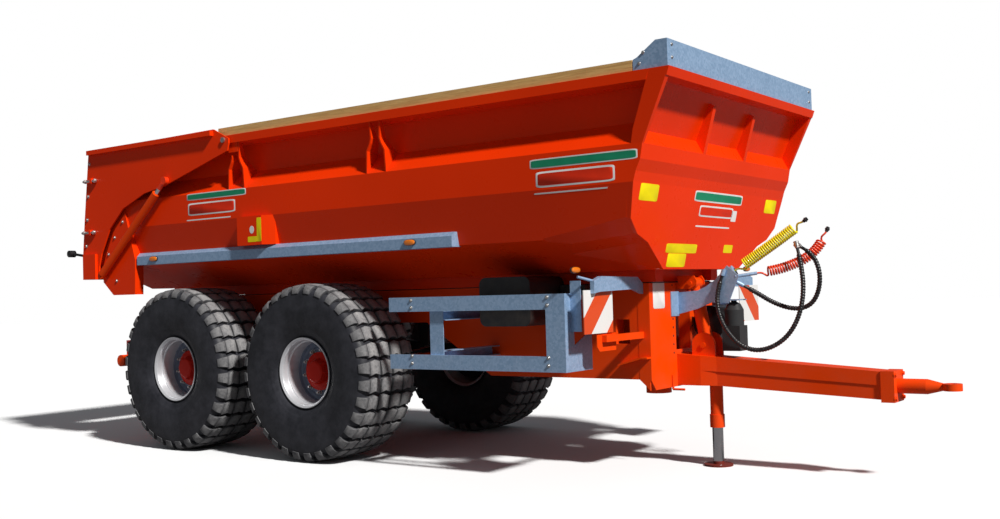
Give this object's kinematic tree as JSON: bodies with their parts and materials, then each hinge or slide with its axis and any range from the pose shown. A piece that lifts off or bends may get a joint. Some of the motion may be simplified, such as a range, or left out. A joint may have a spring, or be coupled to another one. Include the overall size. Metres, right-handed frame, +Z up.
{
  "type": "tipping trailer",
  "caption": "Tandem-axle farm tipping trailer: tapered steel tub, ram-opened tailgate on side arms, sprung drawbar chassis, deep-dish wheels.",
  "frame": {"origin": "on the ground, on the centre plane, halfway between the towing eye's tip and the rearmost lamp", "axes": "+X forward to the towing eye, +Y to the left, +Z up"},
  "size_m": [7.66, 2.6026, 2.781],
  "materials": {
    "tub_red": "gloss orange-red paint",
    "frame_red": "gloss orange-red paint",
    "galvanised": "galvanised sheet",
    "zinc": "zinc plated",
    "board_wood": "varnished plywood",
    "amber": "amber lens",
    "lamp_red": "red lens",
    "hose_black": "black hose cover",
    "hose_yellow": "yellow polyamide tube",
    "hose_red": "red polyamide tube",
    "dark_steel": "black paint",
    "stripes": "reflective sheet",
    "ram_chrome": "hard chrome",
    "tyre": "black rubber",
    "rim_paint": "silver paint",
    "hub_paint": "gloss red paint"
  },
  "bodies": {
    "chassis": {"chassis_frame": "frame_red", "front_frame": "frame_red", "drawbar": "frame_red", "towing_eye": "frame_red", "drawbar_strut": "frame_red", "jack_tube": "frame_red", "axle_front": "frame_red", "axle_rear": "frame_red", "springs": "frame_red", "side_guards": "galvanised", "toolbox": "dark_steel", "warning_boards": "stripes", "rear_bumper": "frame_red", "rear_lamps": "lamp_red", "air_tank": "dark_steel", "accumulator": "dark_steel", "hose_bracket": "galvanised", "board_arms": "galvanised", "front_lamps": "amber", "hose_couplings": "zinc", "hose_long": "hose_black", "hose_short": "hose_black", "yellow_coil": "hose_yellow", "red_coil": "hose_red"},
    "tub": {"tub_shell": "tub_red", "headboard": "tub_red", "side_boards": "board_wood", "spill_plate": "galvanised", "side_strips": "galvanised", "marker_lamps": "amber", "tub_posts": "tub_red", "tub_runners": "tub_red", "rear_plates": "tub_red", "gate_pivots": "zinc"},
    "tailgate": {"tailgate_panel": "tub_red", "gate_cheeks": "tub_red", "stalk_lamps": "lamp_red"},
    "jack": {"jack_leg": "frame_red"},
    "ram_barrel": {"lift_barrel": "frame_red"},
    "ram_stage_1": {"lift_stage_1": "ram_chrome"},
    "ram_stage_2": {"lift_stage_2": "ram_chrome"},
    "ram_stage_3": {"lift_stage_3": "ram_chrome"},
    "ram_stage_4": {"lift_stage_4": "ram_chrome"},
    "ram_stage_5": {"lift_stage_5": "ram_chrome"},
    "gate_barrel_right": {"gate_barrel_right": "frame_red"},
    "gate_rod_right": {"gate_rod_right": "ram_chrome"},
    "gate_barrel_left": {"gate_barrel_left": "frame_red"},
    "gate_rod_left": {"gate_rod_left": "ram_chrome"},
    "wheel_front_right": {"tyre_front_right": "tyre", "rim_front_right": "rim_paint", "hub_front_right": "hub_paint"},
    "wheel_front_left": {"tyre_front_left": "tyre", "rim_front_left": "rim_paint", "hub_front_left": "hub_paint"},
    "wheel_rear_right": {"tyre_rear_right": "tyre", "rim_rear_right": "rim_paint", "hub_rear_right": "hub_paint"},
    "wheel_rear_left": {"tyre_rear_left": "tyre", "rim_rear_left": "rim_paint", "hub_rear_left": "hub_paint"}
  },
  "joints": [
    {"name": "front_right_spin", "type": "hinge", "parent": "chassis", "child": "wheel_front_right", "pos_m": [-0.67, -0.99, 0.6875], "axis": [0, 1, 0], "continuous": true},
    {"name": "front_left_spin", "type": "hinge", "parent": "chassis", "child": "wheel_front_left", "pos_m": [-0.67, 0.99, 0.6875], "axis": [0, 1, 0], "continuous": true},
    {"name": "rear_right_spin", "type": "hinge", "parent": "chassis", "child": "wheel_rear_right", "pos_m": [-2.24, -0.99, 0.6875], "axis": [0, 1, 0], "continuous": true},
    {"name": "rear_left_spin", "type": "hinge", "parent": "chassis", "child": "wheel_rear_left", "pos_m": [-2.24, 0.99, 0.6875], "axis": [0, 1, 0], "continuous": true},
    {"name": "tub_tip", "type": "hinge", "parent": "chassis", "child": "tub", "pos_m": [-2.95, 0, 1.22], "axis": [0, -1, 0], "range_deg": [0, 45]},
    {"name": "ram_lean", "type": "hinge", "parent": "chassis", "child": "ram_barrel", "pos_m": [1.72, 0, 0.7], "axis": [0, -1, 0], "range_deg": [0, 20.48]},
    {"name": "ram_slide_1", "type": "slide", "parent": "ram_barrel", "child": "ram_stage_1", "axis": [0, 0, 1], "range_m": [0, 0.707]},
    {"name": "ram_slide_2", "type": "slide", "parent": "ram_stage_1", "child": "ram_stage_2", "axis": [0, 0, 1], "range_m": [0, 0.707]},
    {"name": "ram_slide_3", "type": "slide", "parent": "ram_stage_2", "child": "ram_stage_3", "axis": [0, 0, 1], "range_m": [0, 0.707]},
    {"name": "ram_slide_4", "type": "slide", "parent": "ram_stage_3", "child": "ram_stage_4", "axis": [0, 0, 1], "range_m": [0, 0.707]},
    {"name": "ram_slide_5", "type": "slide", "parent": "ram_stage_4", "child": "ram_stage_5", "axis": [0, 0, 1], "range_m": [0, 0.707]},
    {"name": "gate_open", "type": "hinge", "parent": "tub", "child": "tailgate", "pos_m": [-1.541, 0, 2.57], "axis": [0, 1, 0], "range_deg": [0, 60]},
    {"name": "gate_ram_right_swing", "type": "hinge", "parent": "tub", "child": "gate_barrel_right", "pos_m": [-3.219, -1.2674, 1.514], "axis": [0, -1, 0], "range_deg": [0, 15.75]},
    {"name": "gate_ram_right_slide", "type": "slide", "parent": "gate_barrel_right", "child": "gate_rod_right", "axis": [0.7664, 0, 0.6424], "range_m": [0, 0.678]},
    {"name": "gate_ram_left_swing", "type": "hinge", "parent": "tub", "child": "gate_barrel_left", "pos_m": [-3.219, 1.2674, 1.514], "axis": [0, -1, 0], "range_deg": [0, 15.75]},
    {"name": "gate_ram_left_slide", "type": "slide", "parent": "gate_barrel_left", "child": "gate_rod_left", "axis": [0.7664, 0, 0.6424], "range_m": [0, 0.678]},
    {"name": "jack_slide", "type": "slide", "parent": "chassis", "child": "jack", "axis": [0, 0, 1], "range_m": [0, 0.25]}
  ],
  "couplings": [
    {"joint": "ram_lean", "follows": "tub_tip", "ratio": 0.45399},
    {"joint": "ram_slide_1", "follows": "tub_tip", "m_per_rad": 0.89835},
    {"joint": "ram_slide_2", "follows": "tub_tip", "m_per_rad": 0.89835},
    {"joint": "ram_slide_3", "follows": "tub_tip", "m_per_rad": 0.89835},
    {"joint": "ram_slide_4", "follows": "tub_tip", "m_per_rad": 0.89835},
    {"joint": "ram_slide_5", "follows": "tub_tip", "m_per_rad": 0.89835},
    {"joint": "gate_ram_right_swing", "follows": "gate_open", "ratio": 0.2617},
    {"joint": "gate_ram_right_slide", "follows": "gate_open", "m_per_rad": 0.64626},
    {"joint": "gate_ram_left_swing", "follows": "gate_open", "ratio": 0.2617},
    {"joint": "gate_ram_left_slide", "follows": "gate_open", "m_per_rad": 0.64626}
  ]
}
